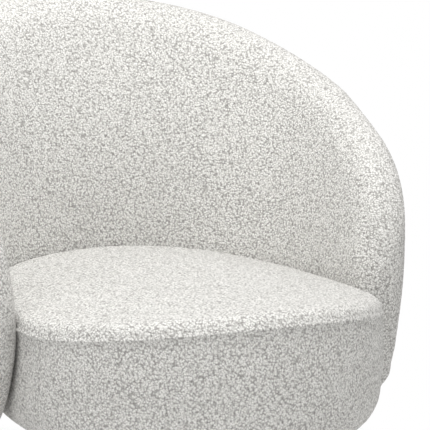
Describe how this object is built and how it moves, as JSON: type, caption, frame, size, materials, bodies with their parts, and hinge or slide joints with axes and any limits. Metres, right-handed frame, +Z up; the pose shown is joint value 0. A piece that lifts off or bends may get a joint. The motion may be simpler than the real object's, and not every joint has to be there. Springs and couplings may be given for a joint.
{
  "type": "tub chair",
  "caption": "Tub chair: a padded wall leans back round a crowned tight seat, and its rim slopes down to rounded arms. Upholstered in looped cloth, on splayed turned wooden legs.",
  "frame": {"origin": "on the floor, under the middle of the whole chair's bounding box", "axes": "+Z up, -Y the way the chair faces, +X to the right for someone looking at its front"},
  "size_m": [0.682, 0.7102, 0.78],
  "materials": {
    "boucle": "light warm-grey looped cover cloth",
    "foam": "open-cell upholstery foam",
    "wadding": "thin padding",
    "felt": "needled felt",
    "webbing": "woven elastic webbing",
    "dust_cloth": "spun black cloth",
    "liner_board": "pressed board",
    "frame_wood": "raw plywood and sawn beech",
    "leg_wood": "satin stained beech",
    "steel": "zinc-plated steel",
    "glide": "black nylon"
  },
  "bodies": {
    "root": {"wall_inside_cover": "boucle", "wall_outside_cover": "boucle", "seat_top_cover": "boucle", "seat_band_cover": "boucle", "back_foam": "foam", "arm_foam_left": "foam", "arm_foam_right": "foam", "seat_topper_foam": "foam", "seat_core_foam": "foam", "seat_edge_foam": "foam", "wall_outside_padding": "wadding", "deck_felt": "felt", "webbing_lengthwise": "webbing", "webbing_crosswise": "webbing", "dust_cloth": "dust_cloth", "inner_liner_board": "liner_board", "outer_liner_board": "liner_board", "rim_rail_back": "frame_wood", "rim_rail_left": "frame_wood", "rim_rail_right": "frame_wood", "wall_rail_back": "frame_wood", "wall_rail_left": "frame_wood", "wall_rail_right": "frame_wood", "arm_post_left": "frame_wood", "arm_post_right": "frame_wood", "side_rib_left": "frame_wood", "side_rib_right": "frame_wood", "corner_rib_left": "frame_wood", "corner_rib_right": "frame_wood", "back_rib_left": "frame_wood", "back_rib_right": "frame_wood", "middle_rib": "frame_wood", "spacer_blocks": "frame_wood", "front_rail": "frame_wood", "back_rail": "frame_wood", "side_rail_left": "frame_wood", "side_rail_right": "frame_wood", "corner_blocks": "frame_wood", "base_board": "frame_wood", "leg_front_left": "leg_wood", "leg_front_right": "leg_wood", "leg_back_left": "leg_wood", "leg_back_right": "leg_wood", "wall_bolts": "steel", "wall_washers": "steel", "wall_nuts": "steel", "leg_studs": "steel", "plate_screws": "steel", "leg_plate_front_left": "steel", "leg_plate_front_right": "steel", "leg_plate_back_left": "steel", "leg_plate_back_right": "steel", "glide_front_left": "glide", "glide_front_right": "glide", "glide_back_left": "glide", "glide_back_right": "glide"}
  },
  "joints": []
}
